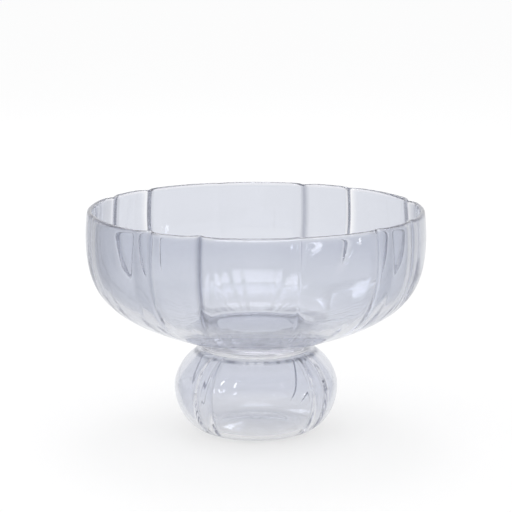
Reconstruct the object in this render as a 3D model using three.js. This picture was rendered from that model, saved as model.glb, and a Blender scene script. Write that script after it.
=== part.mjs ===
// Compote bowl: a wide lobed glass bowl, joined by a clear glass disc to a hollow lobed ball foot.
// Millimetres, +Z up. The origin is the centre of the ring that the foot stands on.
// The front faces -Y, and angles round the axis run from the front towards +X.
import * as THREE from 'three';

// Bowl
const BOWL_RADIUS = 110.5; // at its widest, over the lobes
const BOWL_HEIGHT = 87.6; // from its flat seat to the top of the rim
const BOWL_WALL = 3.6;
const BOWL_FLOOR = 5; // glass between the seat and the inside
const RIM_DROP = 17; // from the top of the rim down to the widest place
const RIM_INSET = 1; // how far the rim draws in from the widest place
const UNDERSIDE_SLOPE = 16.3; // degrees, where the underside leaves the seat
const KNEE_FULLNESS = 0.815; // how far the curve reaches towards the corner of wall and underside

// Lobes of the bowl, parted by grooves that run down the wall and die out at the knee.
// Each has its relative width and the share of the full depth that the groove before it has.
const BOWL_LOBES = [
  { width: 19, groove: 0.75 },
  { width: 33.5, groove: 1 },
  { width: 30.5, groove: 0.3 },
  { width: 19.5, groove: 0.5 },
  { width: 42.5, groove: 0.35 },
  { width: 35, groove: 0.75 },
  { width: 19, groove: 0.65 },
  { width: 33.5, groove: 0.95 },
  { width: 30.5, groove: 0.25 },
  { width: 19.5, groove: 0.85 },
  { width: 42.5, groove: 0.75 },
  { width: 35, groove: 0.15 },
];
const BOWL_FIRST_GROOVE = -38; // degrees from the front
const BOWL_GROOVE_DEPTH = 6; // of the deepest
const BOWL_GROOVE_REACH = 11; // along the wall, from the groove's bottom to its edge
const BOWL_GROOVE_START = 20; // height above the seat where the groove begins
const BOWL_GROOVE_RISE = 30; // from there up to where it has its full depth
const GROOVE_THINNING = 0.5; // share of a wall that the deepest groove takes, the rest shows inside

// Joining disc
const DISC_RADIUS = 36.5; // also the radius of the bowl's seat and of the foot's neck
const DISC_THICKNESS = 4.4;
const DISC_EDGE_ROUND = 1.6;
const JOIN_GAP = 0.3; // clearance at each face where two pieces are fused

// Ball foot
const FOOT_RADIUS = 53.7; // at its widest, over the lobes
const FOOT_HEIGHT = 55; // from the standing plane to the neck, where the ball is cut flat
const FOOT_WIDEST_HEIGHT = 30;
const FOOT_WALL = 3.2;
const SHOULDER_SLOPE = 17.5; // degrees, where the shoulder leaves the neck
const SHOULDER_FULLNESS = 0.52; // as the bowl's knee
const BELLY_FULLNESS = 0.555; // the same for the ball's lower half
const BASE_RADIUS = 28.5; // outer edge of the flat resting ring
const BASE_RING_WIDTH = 4;
const BASE_RISE = 4; // how far the underside is pushed up in the middle

// Lobes of the foot: broad ones with a narrow one between each two, all parted by grooves of one depth
const FOOT_NARROW_LOBE = { width: 13, groove: 1 };
const FOOT_BROAD_LOBE = { width: 77, groove: 1 };
const FOOT_LOBE_PAIRS = 4;
const FOOT_FIRST_GROOVE = -46; // degrees from the front
const FOOT_GROOVE_DEPTH = 1.6;
const FOOT_GROOVE_REACH = 4.5;
const FOOT_GROOVE_RISE = 14; // from the standing plane up to where the groove has its full depth

// Smoothness of the faceted surfaces
const BOWL_COLUMN_STEP = 3.6; // degrees round the axis
const FOOT_COLUMN_STEP = 5.5;
const LEAST_COLUMNS_IN_LOBE = 7;
const KNEE_STEPS = 9;
const UPPER_WALL_STEPS = 2;
const RIM_STEPS = 4;
const FOOT_CURVE_STEPS = 6;
const BASE_STEPS = 3;
const DISC_SIDES = 60;
const DISC_EDGE_STEPS = 2;

// Heights that follow from the pieces standing on each other
const DISC_BOTTOM = FOOT_HEIGHT + JOIN_GAP;
const DISC_TOP = DISC_BOTTOM + DISC_THICKNESS;
const BOWL_SEAT = DISC_TOP + JOIN_GAP;
const RIM_TOP = BOWL_SEAT + BOWL_HEIGHT;

const radians = THREE.MathUtils.degToRad;
const smoothstep = THREE.MathUtils.smoothstep;
const point = (r, z) => new THREE.Vector2(r, z);

// A curve that leaves one point towards a corner and comes to the other point from that corner
function bend(from, corner, to, fullness, steps) {
  const leave = from.clone().lerp(corner, fullness);
  const arrive = to.clone().lerp(corner, fullness);
  return new THREE.CubicBezierCurve(from, leave, arrive, to).getPoints(steps);
}

// Columns round the axis, closest together at the grooves. Each says what share of the depth it dips.
function lobeColumns({ lobes, firstGroove, reach, step }) {
  const widthSum = lobes.reduce((sum, lobe) => sum + lobe.width, 0);
  const dipFrom = (groove, distance) => groove * Math.max(0, 1 - distance / reach) ** 2;
  const columns = [];
  let start = radians(firstGroove);
  lobes.forEach((lobe, index) => {
    const next = lobes[(index + 1) % lobes.length];
    const span = (2 * Math.PI * lobe.width) / widthSum;
    const count = Math.max(LEAST_COLUMNS_IN_LOBE, Math.round(span / radians(step)));
    for (let k = 0; k < count; k += 1) {
      const past = (span * (1 - Math.cos((Math.PI * k) / count))) / 2;
      const dip = Math.max(dipFrom(lobe.groove, past), dipFrom(next.groove, span - past));
      columns.push({ angle: start + past, dip });
    }
    start += span;
  });
  return columns;
}

// Rings with the depth that the grooves have at their height and radius
function grooved(points, depth, fullRadius, start, rise) {
  return points.map(({ x, y }) => {
    const share = (smoothstep(y, start, start + rise) * x) / fullRadius;
    return { r: x, z: y, groove: depth * share };
  });
}

// The depth that is left of a groove on the inside of its wall
function insideDepth(depth, wall) {
  return Math.max(0, depth - wall * GROOVE_THINNING);
}

// A closed body round the axis: it starts on the axis, passes through the rings and ends on the axis
function loft(startHeight, rings, endHeight, columns) {
  const positions = [0, 0, startHeight];
  for (const ring of rings) {
    for (const { angle, dip } of columns) {
      const r = ring.r - ring.groove * dip;
      positions.push(r * Math.sin(angle), -r * Math.cos(angle), ring.z);
    }
  }
  positions.push(0, 0, endHeight);
  const last = rings.length - 1;
  const endPoint = positions.length / 3 - 1;
  const at = (row, k) => 1 + row * columns.length + (k % columns.length);
  const triangles = [];
  for (let k = 0; k < columns.length; k += 1) {
    triangles.push(0, at(0, k + 1), at(0, k));
    for (let row = 0; row < last; row += 1) {
      triangles.push(at(row, k), at(row, k + 1), at(row + 1, k + 1));
      triangles.push(at(row, k), at(row + 1, k + 1), at(row + 1, k));
    }
    triangles.push(endPoint, at(last, k), at(last, k + 1));
  }
  const geometry = new THREE.BufferGeometry();
  geometry.setAttribute('position', new THREE.Float32BufferAttribute(positions, 3));
  geometry.setIndex(triangles);
  geometry.computeVertexNormals();
  return geometry;
}

// One side of the bowl's wall, from the seat up to where the rim's rounding starts
function bowlSide(wall, floor) {
  const seat = point(DISC_RADIUS, BOWL_SEAT + floor);
  const widest = point(BOWL_RADIUS - wall, RIM_TOP - RIM_DROP);
  const corner = point(widest.x, seat.y + (widest.x - seat.x) * Math.tan(radians(UNDERSIDE_SLOPE)));
  const lip = point(widest.x - RIM_INSET, RIM_TOP - BOWL_WALL / 2);
  const upright = point(widest.x, (widest.y + lip.y) / 2);
  const upperWall = new THREE.QuadraticBezierCurve(widest, upright, lip).getPoints(UPPER_WALL_STEPS);
  return [...bend(seat, corner, widest, KNEE_FULLNESS, KNEE_STEPS), ...upperWall.slice(1)];
}

function bowlGeometry() {
  const outside = bowlSide(0, 0);
  const inside = bowlSide(BOWL_WALL, BOWL_FLOOR).reverse();
  const lip = outside.at(-1);
  const rim = [];
  for (let k = 1; k < RIM_STEPS; k += 1) {
    const turn = (Math.PI * k) / RIM_STEPS;
    const halfWall = BOWL_WALL / 2;
    rim.push(point(lip.x - halfWall + halfWall * Math.cos(turn), lip.y + halfWall * Math.sin(turn)));
  }
  const grooveStart = BOWL_SEAT + BOWL_GROOVE_START;
  const press = (points, depth) => grooved(points, depth, BOWL_RADIUS, grooveStart, BOWL_GROOVE_RISE);
  const insideGroove = insideDepth(BOWL_GROOVE_DEPTH, BOWL_WALL);
  const rings = [
    ...press(outside, BOWL_GROOVE_DEPTH),
    ...press(rim, (BOWL_GROOVE_DEPTH + insideGroove) / 2),
    ...press(inside, insideGroove),
  ];
  const columns = lobeColumns({
    lobes: BOWL_LOBES,
    firstGroove: BOWL_FIRST_GROOVE,
    reach: BOWL_GROOVE_REACH / BOWL_RADIUS,
    step: BOWL_COLUMN_STEP,
  });
  return loft(BOWL_SEAT, rings, BOWL_SEAT + BOWL_FLOOR, columns);
}

// A flat round disc with a rounded edge
function discGeometry() {
  const round = Math.min(DISC_EDGE_ROUND, DISC_THICKNESS / 2);
  const profile = [point(0, DISC_BOTTOM)];
  for (const [centreHeight, startAngle] of [[DISC_BOTTOM + round, -Math.PI / 2], [DISC_TOP - round, 0]]) {
    for (let k = 0; k <= DISC_EDGE_STEPS; k += 1) {
      const turn = startAngle + (Math.PI / 2) * (k / DISC_EDGE_STEPS);
      const r = DISC_RADIUS - round + round * Math.cos(turn);
      profile.push(point(r, centreHeight + round * Math.sin(turn)));
    }
  }
  profile.push(point(0, DISC_TOP));
  return new THREE.LatheGeometry(profile, DISC_SIDES).rotateX(Math.PI / 2);
}

// One side of the ball's wall, from the resting ring up to the neck
function footSide(wall) {
  const slope = radians(SHOULDER_SLOPE);
  const ring = point(BASE_RADIUS, wall);
  const widest = point(FOOT_RADIUS - wall, FOOT_WIDEST_HEIGHT);
  const neck = point(DISC_RADIUS - wall / Math.sin(slope), FOOT_HEIGHT);
  const lowerCorner = point(widest.x, ring.y);
  const upperCorner = point(widest.x, neck.y - (widest.x - neck.x) * Math.tan(slope));
  const belly = bend(ring, lowerCorner, widest, BELLY_FULLNESS, FOOT_CURVE_STEPS);
  const shoulder = bend(widest, upperCorner, neck, SHOULDER_FULLNESS, FOOT_CURVE_STEPS);
  return [...belly, ...shoulder.slice(1)];
}

// The dome that is pushed up under the foot, from near the axis out to its edge
function pushedUp(edgeRadius, edgeHeight) {
  const dome = [];
  for (let k = 1; k <= BASE_STEPS; k += 1) {
    const share = k / BASE_STEPS;
    dome.push(point(edgeRadius * share, edgeHeight + BASE_RISE * (1 - share ** 2)));
  }
  return dome;
}

function footGeometry() {
  const underside = pushedUp(BASE_RADIUS - BASE_RING_WIDTH, 0);
  const floor = pushedUp(BASE_RADIUS, FOOT_WALL).reverse();
  const press = (points, depth) => grooved(points, depth, FOOT_RADIUS, 0, FOOT_GROOVE_RISE);
  const insideGroove = insideDepth(FOOT_GROOVE_DEPTH, FOOT_WALL);
  const rings = [
    ...press([...underside, ...footSide(0)], FOOT_GROOVE_DEPTH),
    ...press([...footSide(FOOT_WALL).reverse(), ...floor.slice(1)], insideGroove),
  ];
  const columns = lobeColumns({
    lobes: Array(FOOT_LOBE_PAIRS).fill([FOOT_NARROW_LOBE, FOOT_BROAD_LOBE]).flat(),
    firstGroove: FOOT_FIRST_GROOVE,
    reach: FOOT_GROOVE_REACH / FOOT_RADIUS,
    step: FOOT_COLUMN_STEP,
  });
  return loft(BASE_RISE, rings, BASE_RISE + FOOT_WALL, columns);
}

function glassPiece(name, geometry, color) {
  const material = new THREE.MeshStandardMaterial({
    color,
    roughness: 0.04,
    metalness: 0,
    transparent: true,
    opacity: 0.35,
  });
  const mesh = new THREE.Mesh(geometry, material);
  mesh.name = name;
  return mesh;
}

const compote = new THREE.Group();
compote.add(
  glassPiece('bowl', bowlGeometry(), '#dbdee8'),
  glassPiece('joining_disc', discGeometry(), '#cbceda'),
  glassPiece('ball_foot', footGeometry(), '#d1d3df'),
);

export default compote;
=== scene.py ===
# %% [markdown]
# A footed compote bowl, hot-worked from three pieces of clear glass: a wide bowl with upright lobes, a
# round joining disc and a squashed hollow ball that is its foot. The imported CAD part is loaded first,
# because it fixes where everything sits and how large it is. The glass modelled here takes its outer sizes
# from it.

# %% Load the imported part
import math

import bmesh
import bpy
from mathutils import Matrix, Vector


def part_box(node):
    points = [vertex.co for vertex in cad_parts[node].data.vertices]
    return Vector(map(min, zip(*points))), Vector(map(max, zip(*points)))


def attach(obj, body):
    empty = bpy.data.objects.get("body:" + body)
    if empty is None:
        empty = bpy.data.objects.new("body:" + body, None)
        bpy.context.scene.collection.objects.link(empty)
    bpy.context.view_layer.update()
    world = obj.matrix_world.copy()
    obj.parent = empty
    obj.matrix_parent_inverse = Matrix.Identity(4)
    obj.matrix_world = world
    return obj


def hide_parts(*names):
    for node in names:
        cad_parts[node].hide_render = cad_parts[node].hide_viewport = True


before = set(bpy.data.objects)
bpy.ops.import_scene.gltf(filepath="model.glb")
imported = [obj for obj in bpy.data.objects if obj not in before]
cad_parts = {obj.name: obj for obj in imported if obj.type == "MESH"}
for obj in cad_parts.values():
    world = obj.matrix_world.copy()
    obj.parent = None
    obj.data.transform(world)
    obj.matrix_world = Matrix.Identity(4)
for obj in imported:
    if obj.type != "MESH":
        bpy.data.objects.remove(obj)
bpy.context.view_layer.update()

# %% [markdown]
# The camera stands about where the photograph was taken from, as fitted to the bowl's outline: 1.32 m in
# front and 23 cm above the rim, so that the near rim and the far rim show as a flat ellipse. A short lens
# close by would do the same, but it would spread the bowl's sides. A long lens from further off keeps them
# nearly upright, as the photograph does.

# %% Camera
CAMERA_DISTANCE = 1.320
CAMERA_HEIGHT = 0.3745
CAMERA_TILT = math.radians(78.91)
scene = bpy.context.scene
bpy.ops.object.select_all(action="DESELECT")
bpy.ops.object.camera_add(
    location=(0, -CAMERA_DISTANCE, CAMERA_HEIGHT), rotation=(CAMERA_TILT, 0, 0),
)
camera = bpy.context.object
camera.data.sensor_width = 36
camera.data.lens = 145.3
camera.data.clip_end = 60
scene.camera = camera
print("camera", tuple(round(v, 3) for v in camera.location), "lens", round(camera.data.lens, 1), "mm")

# %% [markdown]
# Table glass is photographed on a sweep of pale paper. The sheet could be bent up behind the bowl, but one
# wide flat sheet is enough, because the camera looks down and sees nothing else. It lies a hair under the
# foot, because two faces in exactly one plane would flicker.

# %% Floor
FLOOR_WIDTH = 24
FLOOR_GAP = 0.0001
bpy.ops.object.select_all(action="DESELECT")
bpy.ops.mesh.primitive_plane_add(size=FLOOR_WIDTH, location=(0, 0, -FLOOR_GAP))
floor = bpy.context.object
floor.name = "floor"
bpy.ops.object.transform_apply(location=True, rotation=True, scale=True)
print("floor", FLOOR_WIDTH, "m wide")

# %% [markdown]
# Paper, light and glass are all built from nodes. Each node could be added and set line by line, but a
# helper does that in one line, and a second one does it for colour ramps. The cells below can then say what
# a node is for, and not how it is added.

# %% Helpers for nodes
def add_node(tree, kind, values=None, **settings):
    """Add a node with its settings, and with the values of its own sockets."""
    node = tree.nodes.new("ShaderNode" + kind)
    for name, setting in settings.items():
        setattr(node, name, setting)
    for socket, value in (values or {}).items():
        node.inputs[socket].default_value = value
    return node


def add_ramp(tree, stops, interpolation="LINEAR"):
    """Add a colour ramp: each stop has a place from 0 to 1 and a colour."""
    node = add_node(tree, "ValToRGB")
    node.color_ramp.interpolation = interpolation
    elements = node.color_ramp.elements
    for element, (place, color) in ((elements[0], stops[0]), (elements[1], stops[-1])):
        element.position = place
        element.color = (*color, 1)
    for place, color in stops[1:-1]:
        elements.new(place).color = (*color, 1)
    return node


def grey(level):
    """A colour with the same share of red, green and blue."""
    return (level, level, level)


print("helpers for nodes ready")

# %% [markdown]
# Clear glass shows by what it bends into view. A photographer of glass keeps the paper bright behind the
# bowl and puts grey cards beside it, just out of the picture, and the edges of the glass then draw
# themselves grey. Black cards would draw them black, which this bowl does not show. The cards could be
# objects, but here they are only a colour of the floor: white in a wedge behind the bowl and grey to both
# sides of it. The camera's own rays are left out, so the paper itself stays white all over.

# %% Grey cards beside the bowl
WEDGE_START = 0.07
WEDGE_SPREAD = 0.14
CARDS_REACH = 5
paper = bpy.data.materials.new("paper")
paper.use_nodes = True
tree = paper.node_tree
spot = add_node(tree, "TexCoord")
split = add_node(tree, "SeparateXYZ")
wedge_width = add_node(tree, "Math", {1: WEDGE_SPREAD, 2: WEDGE_START}, operation="MULTIPLY_ADD")
in_wedge = add_node(tree, "Math", operation="DIVIDE")
across = add_node(tree, "MapRange", {"From Min": -CARDS_REACH, "From Max": CARDS_REACH})
cards = add_ramp(tree, [
    (0.10, grey(0.50)), (0.34, grey(0.80)), (0.40, grey(1.0)),
    (0.60, grey(1.0)), (0.66, grey(0.88)), (0.90, grey(0.70)),
], "EASE")
ray = add_node(tree, "LightPath")
plain = add_node(tree, "Mix", data_type="RGBA")
plain.inputs["B"].default_value = (1, 1, 1, 1)
tree.links.new(spot.outputs["Object"], split.inputs["Vector"])
tree.links.new(split.outputs["Y"], wedge_width.inputs[0])
tree.links.new(split.outputs["X"], in_wedge.inputs[0])
tree.links.new(wedge_width.outputs[0], in_wedge.inputs[1])
tree.links.new(in_wedge.outputs[0], across.inputs["Value"])
tree.links.new(across.outputs["Result"], cards.inputs["Fac"])
tree.links.new(cards.outputs["Color"], plain.inputs["A"])
tree.links.new(ray.outputs["Is Camera Ray"], plain.inputs["Factor"])
print("cards", len(cards.color_ramp.elements), "greys from left to right")

# %% [markdown]
# The paper has to look white and still keep the bowl's soft shadow. More light would whiten it, but it
# would wash out the glass as well. So the sheet is a plain matt white, and a glow is mixed in for the rays
# that look at it: even white for those of the camera, and the greys of the cards for those that the glass
# passes on or throws back.

# %% White paper with a shadow
GLOW_SHARE = 0.65


def rays_that_look(tree):
    """A socket that is 1 for the camera's own rays and for rays that glass passes on or throws back."""
    path = add_node(tree, "LightPath")
    first = add_node(tree, "Math", operation="MAXIMUM")
    second = add_node(tree, "Math", operation="MAXIMUM")
    tree.links.new(path.outputs["Is Camera Ray"], first.inputs[0])
    tree.links.new(path.outputs["Is Glossy Ray"], first.inputs[1])
    tree.links.new(first.outputs[0], second.inputs[0])
    tree.links.new(path.outputs["Is Transmission Ray"], second.inputs[1])
    return second.outputs[0]


sheet = tree.nodes["Principled BSDF"]
sheet.inputs["Base Color"].default_value = (0.95, 0.95, 0.955, 1)
sheet.inputs["Roughness"].default_value = 1.0
sheet.inputs["Specular IOR Level"].default_value = 0.0
glow = add_node(tree, "Emission", {"Strength": 1.0})
partly = add_node(tree, "Math", {1: GLOW_SHARE}, operation="MULTIPLY")
both = add_node(tree, "MixShader")
tree.links.new(plain.outputs["Result"], glow.inputs["Color"])
tree.links.new(rays_that_look(tree), partly.inputs[0])
tree.links.new(partly.outputs[0], both.inputs["Fac"])
tree.links.new(sheet.outputs[0], both.inputs[1])
tree.links.new(glow.outputs[0], both.inputs[2])
tree.links.new(both.outputs[0], tree.nodes["Material Output"].inputs["Surface"])
floor.data.materials.append(paper)
print("paper", len(tree.nodes), "nodes")

# %% [markdown]
# The room around the paper is white at the level of the table and a little greyer overhead, as a studio
# with a darker ceiling is. A picture of a real room could light the glass too, but its shapes would show in
# it. Here the glass sees the white walls, and the paper is lit by an even light of nearly the same
# strength.

# %% Room light
EVEN_LIGHT = 0.97
room = bpy.data.worlds.new("room")
scene.world = room
room.use_nodes = True
tree = room.node_tree
tree.nodes.clear()
direction = add_node(tree, "TexCoord")
slope = add_node(tree, "SeparateXYZ")
walls = add_ramp(tree, [(0.05, (1.0, 1.0, 1.0)), (0.55, (0.92, 0.92, 0.94))])
seen = add_node(tree, "Background")
even = add_node(tree, "Background", {"Color": (1, 1, 1, 1), "Strength": EVEN_LIGHT})
choose = add_node(tree, "MixShader")
sky = add_node(tree, "OutputWorld")
tree.links.new(direction.outputs["Generated"], slope.inputs["Vector"])
tree.links.new(slope.outputs["Z"], walls.inputs["Fac"])
tree.links.new(walls.outputs["Color"], seen.inputs["Color"])
tree.links.new(rays_that_look(tree), choose.inputs["Fac"])
tree.links.new(even.outputs[0], choose.inputs[1])
tree.links.new(seen.outputs[0], choose.inputs[2])
tree.links.new(choose.outputs[0], sky.inputs["Surface"])
print("room light", EVEN_LIGHT)

# %% [markdown]
# A softbox is a lamp behind a white cloth. Its reflection is the short bright mark that tells the eye that
# a surface is polished. Point lamps would give dots, so these are rectangles. The energy of each is worked
# out from the brightness that its reflection is to have, because that stays the same when its size is
# changed.

# %% Helpers for softboxes
AIM_HEIGHT = 0.08


def softbox(name, place, width, height, brightness):
    """A lamp that faces the bowl and shines with the stated brightness."""
    bpy.ops.object.select_all(action="DESELECT")
    turn = math.atan2(place[0], -place[1])
    tilt = math.atan2(place[2] - AIM_HEIGHT, math.hypot(place[0], place[1]))
    bpy.ops.object.light_add(type="AREA", location=place, rotation=(math.pi / 2 - tilt, 0, turn))
    lamp = bpy.context.object
    lamp.name = name
    lamp.data.shape = "RECTANGLE"
    lamp.data.size = width
    lamp.data.size_y = height
    lamp.data.energy = brightness * math.pi * width * height
    return lamp


def around(angle, distance, height):
    """A place at an angle from the front towards the right, in degrees."""
    turn = math.radians(angle)
    return (distance * math.sin(turn), -distance * math.cos(turn), height)


print("helpers for softboxes ready")

# %% [markdown]
# Two softboxes at the left make the bright marks on the foot, one at the right makes its faint ones, and a
# low one at the side marks the bowl's shoulder. The large one overhead shows in the rippled bottom as light
# streaks, and the one behind as the pale patch beside them. One large lamp could light all of it, but small
# or distant ones leave the paper even.

# %% Softboxes
LAMP_DISTANCE = 1.5
lamps = [
    softbox("left_softbox_near", around(-34, LAMP_DISTANCE, 1.15), 0.10, 0.40, 9),
    softbox("left_softbox_far", around(-56, LAMP_DISTANCE, 1.15), 0.10, 0.40, 9),
    softbox("right_softbox", around(42, LAMP_DISTANCE, 1.05), 0.12, 0.40, 1.5),
    softbox("side_softbox", around(70, LAMP_DISTANCE, 0.13), 0.05, 0.14, 8),
    softbox("top_softbox", (0, 0.55, 1.5), 0.5, 0.9, 2.5),
    softbox("rear_softbox", (-0.42, 1.2, 0.95), 0.4, 0.3, 3),
]
print("softboxes", [round(lamp.data.energy, 2) for lamp in lamps], "W")

# %% [markdown]
# All three pieces are round about one axis. They could be spun from an outline, but the grooves between the
# lobes run down the wall and fade, so each piece is drawn as rings: a circle is added, and its edge is
# extruded, moved and scaled ring by ring. These helpers add the first ring, select vertices and measure the
# selection.

# %% Helpers for a ring
def add_ring(name, radius, height, columns):
    """A circle of vertices about the axis, in edit mode and selected all over."""
    bpy.ops.object.select_all(action="DESELECT")
    bpy.ops.mesh.primitive_circle_add(vertices=columns, radius=radius, location=(0, 0, height))
    piece = bpy.context.object
    piece.name = name
    piece.data.name = name
    bpy.ops.object.transform_apply(location=True, rotation=True, scale=True)
    bpy.ops.object.mode_set(mode="EDIT")
    return piece


def pick(piece, wanted):
    """Select the vertices whose place passes the test, and nothing else."""
    mesh = bmesh.from_edit_mesh(piece.data)
    for vertex in mesh.verts:
        vertex.select = wanted(vertex.co)
    mesh.select_flush_mode()
    bmesh.update_edit_mesh(piece.data)


def ring_size(piece):
    """The radius over the lobes and the height of the selected ring."""
    mesh = bmesh.from_edit_mesh(piece.data)
    places = [vertex.co for vertex in mesh.verts if vertex.select]
    return max(place.xy.length for place in places), places[0].z


print("helpers for a ring ready")

# %% [markdown]
# The wall is drawn from ring to ring. Grooves could be pressed into every ring anew, but a ring that is
# extruded keeps those of the ring before it. To Sphere pulls a ring towards a true circle, so a share of it
# lets the grooves fade on the way down, as they do in the glass, where the mould's ridges run out at the
# knee.

# %% Helpers for drawing a wall
def draw_ring(piece, radius, height, rounding=0.0):
    """Extrude the selected ring to a new radius and height. Rounding takes that share of its grooves away."""
    rise = height - ring_size(piece)[1]
    bpy.ops.mesh.extrude_edges_move(TRANSFORM_OT_translate={"value": (0, 0, rise)})
    if rounding > 0:
        bpy.ops.transform.tosphere(value=rounding, center_override=(0, 0, height))
    grow = radius / ring_size(piece)[0]
    bpy.ops.transform.resize(value=(grow, grow, 1), center_override=(0, 0, height))


def draw_wall(piece, places, groove_share):
    """Draw ring after ring, and let the grooves keep their share of the depth at each height."""
    left = 1.0
    for radius, height in places:
        new_left = groove_share(height)
        draw_ring(piece, radius, height, 1 - new_left / left if left else 1)
        left = new_left


def close_ring(piece, height):
    """Draw the selected ring in towards the axis and close it there."""
    draw_ring(piece, ring_size(piece)[0] / 2, height)
    bpy.ops.mesh.extrude_edges_move(TRANSFORM_OT_translate={"value": (0, 0, 0)})
    bpy.ops.mesh.merge(type="CENTER")


print("helpers for drawing a wall ready")

# %% [markdown]
# Blown glass has no corners, so its outline is a curve that leaves one place and comes to the next without
# a break. A drawn curve object could hold it, but a short rule keeps it tied to the sizes of the part. The
# grooves are pushed into the first ring with proportional editing, whose sharp falloff gives a narrow
# valley between two rounded lobes. A boolean cut would leave an edge there, which fire-polished glass has
# not.

# %% Helpers for outlines and grooves
SAME_PLACE = 1e-6


def curve(start, corner, end, fullness, steps):
    """Places (radius, height) on a curve that leaves start towards the corner and comes to end from it."""
    leave = [a + (c - a) * fullness for a, c in zip(start, corner)]
    arrive = [b + (c - b) * fullness for b, c in zip(end, corner)]
    guides = (start, leave, arrive, end)
    places = []
    for k in range(steps + 1):
        t = k / steps
        weights = ((1 - t) ** 3, 3 * t * (1 - t) ** 2, 3 * t * t * (1 - t), t ** 3)
        places.append(tuple(sum(w * p[i] for w, p in zip(weights, guides)) for i in (0, 1)))
    return places


def ease(t):
    """A share from 0 to 1 that starts and ends softly."""
    t = min(1, max(0, t))
    return t * t * (3 - 2 * t)


def press_grooves(piece, grooves, depth, reach):
    """Push grooves into the ring: each has an angle, in degrees from the front, and a share of the depth."""
    radius, height = ring_size(piece)
    for angle, share in grooves.items():
        place = around(angle, radius, height)[:2]
        mesh = bmesh.from_edit_mesh(piece.data)
        nearest = min((math.dist(vertex.co.xy, place), vertex.index) for vertex in mesh.verts)[1]
        mesh.verts.ensure_lookup_table()
        bottom = mesh.verts[nearest].co.copy()
        pick(piece, lambda co: (co - bottom).length < SAME_PLACE)
        press = 1 - depth * share / radius
        bpy.ops.transform.resize(
            value=(press, press, 1), center_override=(0, 0, height), use_proportional_edit=True,
            proportional_edit_falloff="SHARP", proportional_size=reach,
        )
    bpy.ops.mesh.select_all(action="SELECT")


print("helpers for outlines and grooves ready")

# %% [markdown]
# A drawn piece still has flat facets. Shading alone would hide them on a plate, but glass bends light by
# its true surface and would show each one. So every piece is subdivided once more, and then shaded smooth.

# %% Helper that finishes a piece
def finish_piece(piece):
    """Turn the faces outwards, smooth the rings and leave edit mode."""
    bpy.ops.mesh.select_all(action="SELECT")
    bpy.ops.mesh.normals_make_consistent(inside=False)
    bpy.ops.object.mode_set(mode="OBJECT")
    smooth = piece.modifiers.new("smooth", "SUBSURF")
    smooth.levels = 1
    smooth.render_levels = 1
    smooth.use_limit_surface = False
    bpy.ops.object.modifier_apply(modifier=smooth.name)
    bpy.ops.object.shade_smooth()
    low = [round(min(v.co[k] for v in piece.data.vertices), 4) for k in range(3)]
    high = [round(max(v.co[k] for v in piece.data.vertices), 4) for k in range(3)]
    print(piece.name, len(piece.data.polygons), "faces", low, high)


print("helper that finishes a piece ready")

# %% [markdown]
# The bowl is blown into a mould with upright ridges, and each ridge leaves a groove between two lobes. The
# lobes are of six widths and the grooves of different depths, so each groove is listed with its angle and
# its share of the depth. An even array would be quicker, but its rim would have the wrong steps. The outer
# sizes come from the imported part, less a hair, so that the glass stays inside it.

# %% Bowl sizes
HAIR = 0.00005
RIM_BAND = 0.017
bowl_low, bowl_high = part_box("bowl")
BOWL_RADIUS = (bowl_high.x - bowl_low.x) / 2 - HAIR
RIM_TOP = bowl_high.z
SEAT = bowl_low.z
SEAT_RADIUS = 0.0365
WIDEST = RIM_TOP - RIM_BAND
WALL = 0.0036
BOTTOM = 0.0050
KNEE_SLOPE = math.radians(16.3)
KNEE_FULLNESS = 0.815
WALL_RINGS = 26
GROOVES = {
    -73: 0.15, -38: 0.75, -19: 1.0, 14.5: 0.3, 45: 0.5, 64.5: 0.35,
    107: 0.75, 142: 0.65, 161: 0.95, 194.5: 0.25, 225: 0.85, 244.5: 0.75,
}
GROOVE_DEPTH = 0.0060
GROOVE_REACH = 0.0110
GROOVE_START = 0.020
GROOVE_RISE = 0.030


def groove_left(height):
    """The share of its depth that a groove has at a height: none at the seat, all of it above the knee."""
    return ease((height - SEAT - GROOVE_START) / GROOVE_RISE)


def bowl_curve(wall, bottom):
    """One side of the bowl's wall, from its widest place down to the seat."""
    widest = (BOWL_RADIUS - wall, WIDEST)
    seat = (SEAT_RADIUS, SEAT + bottom)
    corner = (widest[0], seat[1] + (widest[0] - seat[0]) * math.tan(KNEE_SLOPE))
    return curve(widest, corner, seat, KNEE_FULLNESS, WALL_RINGS)


print("bowl radius", round(BOWL_RADIUS, 4), "rim", round(RIM_TOP, 4), "grooves", len(GROOVES))

# %% [markdown]
# The outside is the side that the mould shaped, so its grooves have the full depth. It could be drawn from
# the seat upwards, but the grooves are pressed in best where they are deepest. So it starts with a ring at
# the widest place, and is drawn from there down over the knee to the round seat, where the bowl meets the
# disc.

# %% Outside of the bowl
COLUMNS = 360
bowl = add_ring("glass_bowl", BOWL_RADIUS, WIDEST, COLUMNS)
press_grooves(bowl, GROOVES, GROOVE_DEPTH, GROOVE_REACH)
draw_wall(bowl, bowl_curve(0, 0)[1:], groove_left)
close_ring(bowl, SEAT)
print("outside drawn,", len(bmesh.from_edit_mesh(bowl.data).verts), "vertices")

# %% [markdown]
# The rim was cut from the blowpipe and melted round in the fire, so it is drawn as half a circle over the
# wall. A bevel could round it too, but drawing it keeps the lobes. The inside follows the lobes a little
# more softly than the outside, because no mould touched it, and ends in the thicker bottom.

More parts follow.
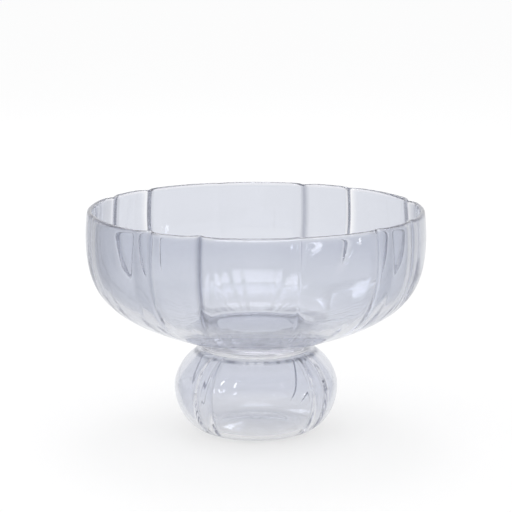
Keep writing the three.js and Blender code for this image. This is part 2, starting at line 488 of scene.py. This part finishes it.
# %% Rim and inside of the bowl
LIP = RIM_TOP - WALL / 2
LIP_INSET = 0.0010
LIP_RADIUS = BOWL_RADIUS - LIP_INSET
INSIDE_SHARE = 0.88
RIM_STEPS = [(0.0002, 0.006), (0.0006, 0.011)]
pick(bowl, lambda co: co.z > WIDEST - SAME_PLACE)
for inset, rise in RIM_STEPS:
    draw_ring(bowl, BOWL_RADIUS - inset, WIDEST + rise)
draw_ring(bowl, LIP_RADIUS, LIP)
for turn in (45, 90, 135):
    angle = math.radians(turn)
    draw_ring(bowl, LIP_RADIUS - WALL / 2 * (1 - math.cos(angle)), LIP + WALL / 2 * math.sin(angle))
draw_ring(bowl, LIP_RADIUS - WALL, LIP, 1 - INSIDE_SHARE)
for inset, rise in reversed(RIM_STEPS):
    draw_ring(bowl, BOWL_RADIUS - WALL - inset, WIDEST + rise)
draw_wall(bowl, bowl_curve(WALL, BOTTOM), groove_left)
close_ring(bowl, SEAT + BOTTOM)
finish_piece(bowl)

# %% [markdown]
# The joining disc is a wafer of hot glass dropped between the bowl and the foot, and both stick to it. A
# cylinder with a bevel has the same form. It is drawn as rings like the rest, so that its round edge has
# the same even faces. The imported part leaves 0.3 mm free at each face of it. Here it reaches over that and
# 0.1 mm into both neighbours, because a film of air between them would mirror and show a joint that fused
# glass has not.

# %% Joining disc
disc_low, disc_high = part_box("joining_disc")
DISC_RADIUS = (disc_high.x - disc_low.x) / 2
DISC_ROUND = 0.0016
DISC_COLUMNS = 180
INTO = 0.0004
disc_bottom = disc_low.z - INTO
disc_top = disc_high.z + INTO
disc = add_ring("glass_joining_disc", DISC_RADIUS - DISC_ROUND, disc_bottom, DISC_COLUMNS)
for turn in (-60, -30, 0):
    angle = math.radians(turn)
    radius = DISC_RADIUS - DISC_ROUND * (1 - math.cos(angle))
    draw_ring(disc, radius, disc_bottom + DISC_ROUND * (1 + math.sin(angle)))
for turn in (0, 30, 60, 90):
    angle = math.radians(turn)
    radius = DISC_RADIUS - DISC_ROUND * (1 - math.cos(angle))
    draw_ring(disc, radius, disc_top - DISC_ROUND * (1 - math.sin(angle)))
close_ring(disc, disc_top)
pick(disc, lambda co: co.z < disc_bottom + SAME_PLACE)
close_ring(disc, disc_bottom)
finish_piece(disc)

# %% [markdown]
# The foot is a second bubble, blown into a smaller mould with four pairs of ridges, cut flat at its neck
# and pressed down until it is a squashed ball. A scaled sphere comes near it, but its shoulder is flatter
# and its lower half fuller than a sphere's. So it has two curves: the shoulder up to the neck and the belly
# down to the ring that it stands on.

# %% Ball foot sizes
foot_low, foot_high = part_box("ball_foot")
FOOT_RADIUS = (foot_high.x - foot_low.x) / 2
NECK = foot_high.z
NECK_RADIUS = 0.0365
NECK_SLOPE = math.radians(17.5)
FOOT_WIDEST = 0.030
FOOT_WALL = 0.0032
BASE_RADIUS = 0.0285
RING_WIDTH = 0.004
PUSHED_UP = 0.004
SHOULDER_FULLNESS = 0.52
SHOULDER_RINGS = 10
BELLY_FULLNESS = 0.555
BELLY_RINGS = 12
FOOT_GROOVES = {angle + turn: 1 for turn in (0, 90, 180, 270) for angle in (-46, -33)}
FOOT_GROOVE_DEPTH = 0.0016
FOOT_GROOVE_REACH = 0.0045
FOOT_GROOVE_RISE = 0.014


def foot_left(height):
    """The share of its depth that a groove of the foot has at a height: none at the table, all from 14 mm."""
    return ease(height / FOOT_GROOVE_RISE)


def foot_curves(wall):
    """The ball's shoulder, from its widest place up to the neck, and its belly, down to the resting ring."""
    widest = (FOOT_RADIUS - wall, FOOT_WIDEST)
    neck = (NECK_RADIUS - wall / math.sin(NECK_SLOPE), NECK)
    ring = (BASE_RADIUS, wall)
    corner = (widest[0], NECK - (widest[0] - neck[0]) * math.tan(NECK_SLOPE))
    shoulder = curve(widest, corner, neck, SHOULDER_FULLNESS, SHOULDER_RINGS)
    belly = curve(widest, (widest[0], wall), ring, BELLY_FULLNESS, BELLY_RINGS)
    return shoulder, belly


print("foot radius", round(FOOT_RADIUS, 4), "neck", round(NECK, 4), "grooves", len(FOOT_GROOVES))

# %% [markdown]
# The shoulder is drawn up to the neck and goes over into the inside there, because the ball is hollow and
# open under the disc. The inside of a bubble is smooth, so its first ring is pulled quite round. A solid
# ball would be simpler, but it would act as a lens and turn the view behind it upside down.

# %% Shoulder and inside of the foot
DOME_SHARES = (0.66, 0.33)
foot = add_ring("glass_ball_foot", FOOT_RADIUS, FOOT_WIDEST, COLUMNS)
press_grooves(foot, FOOT_GROOVES, FOOT_GROOVE_DEPTH, FOOT_GROOVE_REACH)
shoulder, belly = foot_curves(0)
shoulder_inside, belly_inside = foot_curves(FOOT_WALL)
for radius, height in shoulder[1:]:
    draw_ring(foot, radius, height)
for k, (radius, height) in enumerate(reversed(shoulder_inside)):
    draw_ring(foot, radius, height, 0.0 if k else 1.0)
draw_wall(foot, belly_inside[1:], foot_left)
for share in DOME_SHARES:
    draw_ring(foot, BASE_RADIUS * share, FOOT_WALL + PUSHED_UP * (1 - share ** 2), 1.0)
close_ring(foot, FOOT_WALL + PUSHED_UP)
print("inside of the foot drawn,", len(bmesh.from_edit_mesh(foot.data).verts), "vertices")

# %% [markdown]
# The belly comes down to a narrow ring, and the middle of the bottom is pushed up, so that the bowl stands
# on the ring alone and does not rock. A flat bottom would be simpler, but hot glass never cools quite flat.
# The first ring of the foot is selected again and drawn downwards.

# %% Belly and base of the foot
OUTSIDE_BAND = 0.0020
pick(foot, lambda co: abs(co.z - FOOT_WIDEST) < SAME_PLACE and co.xy.length > FOOT_RADIUS - OUTSIDE_BAND)
draw_wall(foot, belly[1:], foot_left)
draw_ring(foot, BASE_RADIUS - RING_WIDTH, 0.0)
for share in DOME_SHARES:
    draw_ring(foot, (BASE_RADIUS - RING_WIDTH) * share, PUSHED_UP * (1 - share ** 2))
close_ring(foot, PUSHED_UP)
finish_piece(foot)

# %% [markdown]
# Some grooves are darkened, and the outermost lobes at the left and right get a broad, weak darkening:
# this is painted shade, for the dark lines and greyer sides that the bent view draws there. Glass is
# clearer where the ridge squeezed it thin, so four grooves are set clear, which is partly painted light
# that lifts their dark lines, and the melted lip is set clear as painted light. A texture could hold that,
# but a value on each vertex follows the grooves exactly. Each mark has an angle, a strength and a reach,
# and fades out with the groove itself.

# %% Painted shade, thin grooves and painted light
def mark(piece, name, marks, share_at):
    """Note a value on each vertex: each mark has an angle, a strength and a reach, in degrees."""
    values = piece.data.attributes.new(name, "FLOAT", "POINT")
    for vertex, value in zip(piece.data.vertices, values.data):
        x, y, z = vertex.co
        here = math.degrees(math.atan2(x, -y))
        felt = []
        for angle, strength, reach in marks:
            away = abs((here - angle + 180) % 360 - 180) / reach
            felt.append(max(0, 1 - away) * strength)
        value.value = share_at(z) * max(felt)


# Painted shade: a few groove lines and the two outer lobes are darkened.
BOWL_PAINTED_SHADES = [(-38, 0.5, 1.4), (-19, 1.0, 1.6), (161, 0.75, 1.4), (-90, 0.6, 24), (90, 0.3, 22)]
# Partly painted light: these thin grooves are set clear, which lifts their dark lines.
BOWL_THIN_AND_PAINTED_LIGHT = [(angle, 1, 2.2) for angle in (107, 142, 225, 244.5)]
# Painted shade on one groove line of the foot.
FOOT_PAINTED_SHADES = [(-33, 0.25, 1.6)]
PAINTED_LIGHT_LIP = 0.0008
mark(bowl, "painted_shade", BOWL_PAINTED_SHADES, groove_left)
mark(bowl, "thin_and_painted_light", BOWL_THIN_AND_PAINTED_LIGHT, groove_left)
# Painted light: the melted lip is set clear.
for vertex, value in zip(bowl.data.vertices, bowl.data.attributes["thin_and_painted_light"].data):
    if vertex.co.z > RIM_TOP - PAINTED_LIGHT_LIP:
        value.value = 1.0
mark(foot, "painted_shade", FOOT_PAINTED_SHADES, foot_left)
print("marked", len(BOWL_PAINTED_SHADES), "shades and", len(BOWL_THIN_AND_PAINTED_LIGHT), "thin grooves on the bowl")

# %% [markdown]
# The glass is clear and fully transparent, with about the index of refraction of soda glass. A glass shader
# alone would do that, but the Principled one also travels to other programs. Its colour is built up in the
# next cells, because a blown piece is nowhere quite the same.

# %% Clear glass
GLASS_HEIGHT = 0.147
glass = bpy.data.materials.new("clear_glass")
glass.use_nodes = True
tree = glass.node_tree
shader = tree.nodes["Principled BSDF"]
shader.inputs["IOR"].default_value = 1.5
shader.inputs["Transmission Weight"].default_value = 1.0
spot = add_node(tree, "TexCoord")
split = add_node(tree, "SeparateXYZ")
level = add_node(tree, "MapRange", {"From Max": GLASS_HEIGHT})
tree.links.new(spot.outputs["Object"], split.inputs["Vector"])
tree.links.new(split.outputs["Z"], level.inputs["Value"])
print("glass index", round(shader.inputs["IOR"].default_value, 2))

# %% [markdown]
# The faint cool tint is strongest in the bowl's upper wall and in the foot, and weak in the foot's base,
# the disc and the bowl's bottom. It is lighter again at the melted rim, which is painted light along the
# rim. It could be painted by hand, but all of it goes with height, so one colour ramp along Z holds it.

# %% Tint by height
FOOT_TINT = (0.78, 0.795, 0.845)
DISC_TINT = (0.98, 0.98, 0.985)
UPPER_TINT = (0.72, 0.74, 0.80)
tint = add_ramp(tree, [
    (0.05, (0.96, 0.965, 0.98)), (0.15, FOOT_TINT), (0.3722, FOOT_TINT),
    (0.3732, DISC_TINT), (0.410, DISC_TINT), (0.47, (0.91, 0.915, 0.935)),
    (0.545, (0.82, 0.835, 0.87)), (0.62, (0.80, 0.815, 0.86)), (0.71, UPPER_TINT),
    # The last two stops lighten the rim: painted light.
    (0.985, UPPER_TINT), (0.992, (0.78, 0.79, 0.84)), (0.998, (0.86, 0.865, 0.89)),
])
tree.links.new(level.outputs["Result"], tint.inputs["Fac"])
print("tint", len(tint.color_ramp.elements), "stops")

# %% [markdown]
# The noted painted shade darkens the tint in a few deep grooves and in the outer lobes, for the shade
# that the bent view draws there. The edges are darker too, because one looks along the wall there and
# through much more glass. They could be noted on the vertices as well, but only for one view. Layer
# Weight knows how much a face is turned away, so it does that from every side. The thin grooves and the
# lip are set clear after both, because neither is to reach them: this is painted light at the lip, and in
# part at the grooves.

# %% Painted shade, edges and painted light
painted_shade = add_node(tree, "Attribute", attribute_name="painted_shade")
# The colour of the painted shade.
painted_shade_mix = add_node(tree, "Mix", data_type="RGBA", blend_type="MULTIPLY")
painted_shade_mix.inputs["B"].default_value = (0.45, 0.46, 0.51, 1)
view = add_node(tree, "LayerWeight", {"Blend": 0.5})
along = add_node(tree, "MapRange", {"From Min": 0.55, "From Max": 1.0})
edges = add_node(tree, "Mix", data_type="RGBA", blend_type="MULTIPLY")
edges.inputs["B"].default_value = (0.68, 0.70, 0.75, 1)
thin_and_painted_light = add_node(tree, "Attribute", attribute_name="thin_and_painted_light")
# Set clear where marked: painted light at the lip, and in part at the thin grooves.
clear = add_node(tree, "Mix", data_type="RGBA")
clear.inputs["B"].default_value = (1, 1, 1, 1)
tree.links.new(tint.outputs["Color"], painted_shade_mix.inputs["A"])
tree.links.new(painted_shade.outputs["Fac"], painted_shade_mix.inputs["Factor"])
tree.links.new(view.outputs["Facing"], along.inputs["Value"])
tree.links.new(along.outputs["Result"], edges.inputs["Factor"])
tree.links.new(painted_shade_mix.outputs["Result"], edges.inputs["A"])
tree.links.new(thin_and_painted_light.outputs["Fac"], clear.inputs["Factor"])
tree.links.new(edges.outputs["Result"], clear.inputs["A"])
print("glass", len(tree.nodes), "nodes so far")

# %% [markdown]
# Hot glass that slides along a mould keeps ripples, and here they run from the seat up over the knee and
# break the light into streaks. Modelled ripples would need many more faces, so a bump makes them. The noise
# is read at the direction from the axis, so that each ripple runs straight up the wall. A ramp keeps it to
# the knee, and the distance from the axis lets it run out before the middle, where all ripples would meet.
# They are calmer at both sides, because full ripples drew zigzag lines there that the photograph hardly
# shows.

# %% Ripples at the knee
RIPPLE_HEIGHT = 0.0009
flat = add_node(tree, "VectorMath", {1: (1, 1, 0)}, operation="MULTIPLY")
outward = add_node(tree, "VectorMath", operation="NORMALIZE")
upright = add_node(tree, "VectorMath", {1: (0, 0, 0.6)}, operation="MULTIPLY")
drawn = add_node(tree, "VectorMath", operation="ADD")
ripples = add_node(tree, "TexNoise", {"Scale": 13, "Detail": 0})
knee = add_ramp(tree, [
    (0.405, grey(0.0)), (0.45, grey(1.0)), (0.56, grey(1.0)), (0.66, grey(0.35)), (0.80, grey(0.14)),
])
from_axis = add_node(tree, "VectorMath", operation="LENGTH")
outer = add_node(tree, "MapRange", {"From Min": 0.022, "From Max": 0.042})
deep = add_node(tree, "Math", operation="MULTIPLY")
side = add_node(tree, "SeparateXYZ")
to_side = add_node(tree, "Math", operation="ABSOLUTE")
calm = add_node(tree, "MapRange", {"From Min": 0.26, "From Max": 0.42, "To Min": 1.0, "To Max": 0.25})
strong = add_node(tree, "Math", operation="MULTIPLY")
swell = add_node(tree, "Math", operation="MULTIPLY")
waves = add_node(tree, "Bump", {"Strength": 1.0, "Distance": RIPPLE_HEIGHT})
tree.links.new(spot.outputs["Object"], flat.inputs[0])
tree.links.new(flat.outputs[0], outward.inputs[0])
tree.links.new(spot.outputs["Object"], upright.inputs[0])
tree.links.new(outward.outputs[0], drawn.inputs[0])
tree.links.new(upright.outputs[0], drawn.inputs[1])
tree.links.new(drawn.outputs[0], ripples.inputs["Vector"])
tree.links.new(level.outputs["Result"], knee.inputs["Fac"])
tree.links.new(flat.outputs[0], from_axis.inputs[0])
tree.links.new(from_axis.outputs["Value"], outer.inputs["Value"])
tree.links.new(knee.outputs["Color"], deep.inputs[0])
tree.links.new(outer.outputs["Result"], deep.inputs[1])
tree.links.new(outward.outputs[0], side.inputs["Vector"])
tree.links.new(side.outputs["X"], to_side.inputs[0])
tree.links.new(to_side.outputs[0], calm.inputs["Value"])
tree.links.new(deep.outputs[0], strong.inputs[0])
tree.links.new(calm.outputs["Result"], strong.inputs[1])
tree.links.new(ripples.outputs["Fac"], swell.inputs[0])
tree.links.new(strong.outputs[0], swell.inputs[1])
tree.links.new(swell.outputs[0], waves.inputs["Height"])
tree.links.new(waves.outputs["Normal"], shader.inputs["Normal"])
print("ripples up to", round(RIPPLE_HEIGHT * 1000, 1), "mm")

# %% [markdown]
# Small dark spots run along the creases under and over the disc, and they are painted here as shade in
# the creases between the pieces. The same direction is read by a second noise, and a ramp keeps it to
# the creases. The tint is darkened there, most of all where the noise is high.

# %% Painted shade spots in the crease
painted_shade_spots = add_node(tree, "TexNoise", {"Scale": 9, "Detail": 1})
painted_shade_spot = add_node(tree, "MapRange", {"From Min": 0.42, "From Max": 0.60, "To Min": 0.62})
crease = add_ramp(tree, [
    (0.356, grey(0.0)), (0.363, grey(1.0)), (0.3686, grey(1.0)), (0.3722, grey(0.0)),
    (0.4125, grey(0.0)), (0.418, grey(0.7)), (0.430, grey(0.5)), (0.437, grey(0.0)),
])
within = add_node(tree, "Math", operation="MULTIPLY")
painted_crease_shade = add_node(tree, "Mix", data_type="RGBA", blend_type="MULTIPLY")
# The colour of the painted crease shade.
painted_crease_shade.inputs["B"].default_value = (0.16, 0.17, 0.21, 1)
tree.links.new(drawn.outputs[0], painted_shade_spots.inputs["Vector"])
tree.links.new(painted_shade_spots.outputs["Fac"], painted_shade_spot.inputs["Value"])
tree.links.new(level.outputs["Result"], crease.inputs["Fac"])
tree.links.new(painted_shade_spot.outputs["Result"], within.inputs[0])
tree.links.new(crease.outputs["Color"], within.inputs[1])
tree.links.new(within.outputs[0], painted_crease_shade.inputs["Factor"])
tree.links.new(clear.outputs["Result"], painted_crease_shade.inputs["A"])
tree.links.new(painted_crease_shade.outputs["Result"], shader.inputs["Base Color"])
print("crease", len(crease.color_ramp.elements), "stops")

# %% [markdown]
# Glass that has been washed and handled is never quite free of haze. One roughness for all of it would look
# like plastic, so a fine noise lets it vary a little from place to place, between a clean polish and a
# faint film.

# %% Haze
HAZE = 0.04
haze = add_node(tree, "TexNoise", {"Scale": 45, "Detail": 4})
film = add_node(tree, "MapRange", {"To Max": HAZE})
tree.links.new(spot.outputs["Object"], haze.inputs["Vector"])
tree.links.new(haze.outputs["Fac"], film.inputs["Value"])
tree.links.new(film.outputs["Result"], shader.inputs["Roughness"])
print("haze up to", HAZE)

# %% [markdown]
# Even clear glass takes some light away over a long path, as the green or grey edge of a window pane shows.
# The surface colour cannot know how long the path is, so absorption in the volume is added. It greys the
# disc, which is seen edgewise, and leaves the thin wall nearly clear. Then the glass is given to all three
# pieces.

# %% Depth colour
depth = add_node(tree, "VolumeAbsorption", {"Color": (0.62, 0.63, 0.68, 1), "Density": 7})
tree.links.new(depth.outputs[0], tree.nodes["Material Output"].inputs["Volume"])
for piece in (bowl, disc, foot):
    piece.data.materials.append(glass)
print("glass", len(tree.nodes), "nodes on", bowl.name, disc.name, foot.name)

# %% [markdown]
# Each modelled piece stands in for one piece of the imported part, and all ride on its one body, because
# fused glass does not move. The pieces stay separate and are not joined into one mesh, as on the real bowl
# each was made by itself.

# %% Join the pieces to the part
for piece, node in ((bowl, "bowl"), (disc, "joining_disc"), (foot, "ball_foot")):
    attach(piece, "root")
    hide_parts(node)
    print(piece.name, "replaces", node)

# %% [markdown]
# Light that enters the rim runs down inside the wall and is thrown from face to face many times before it
# comes out. With the usual few bounces such paths end early and the rim turns black, so the limits are
# raised. The Standard view keeps white paper white.

# %% Render settings
BOUNCES = 160
scene.view_settings.view_transform = "Standard"
scene.cycles.max_bounces = BOUNCES
scene.cycles.transmission_bounces = BOUNCES
scene.cycles.glossy_bounces = BOUNCES
scene.cycles.transparent_max_bounces = 16
print("bounces", scene.cycles.max_bounces)
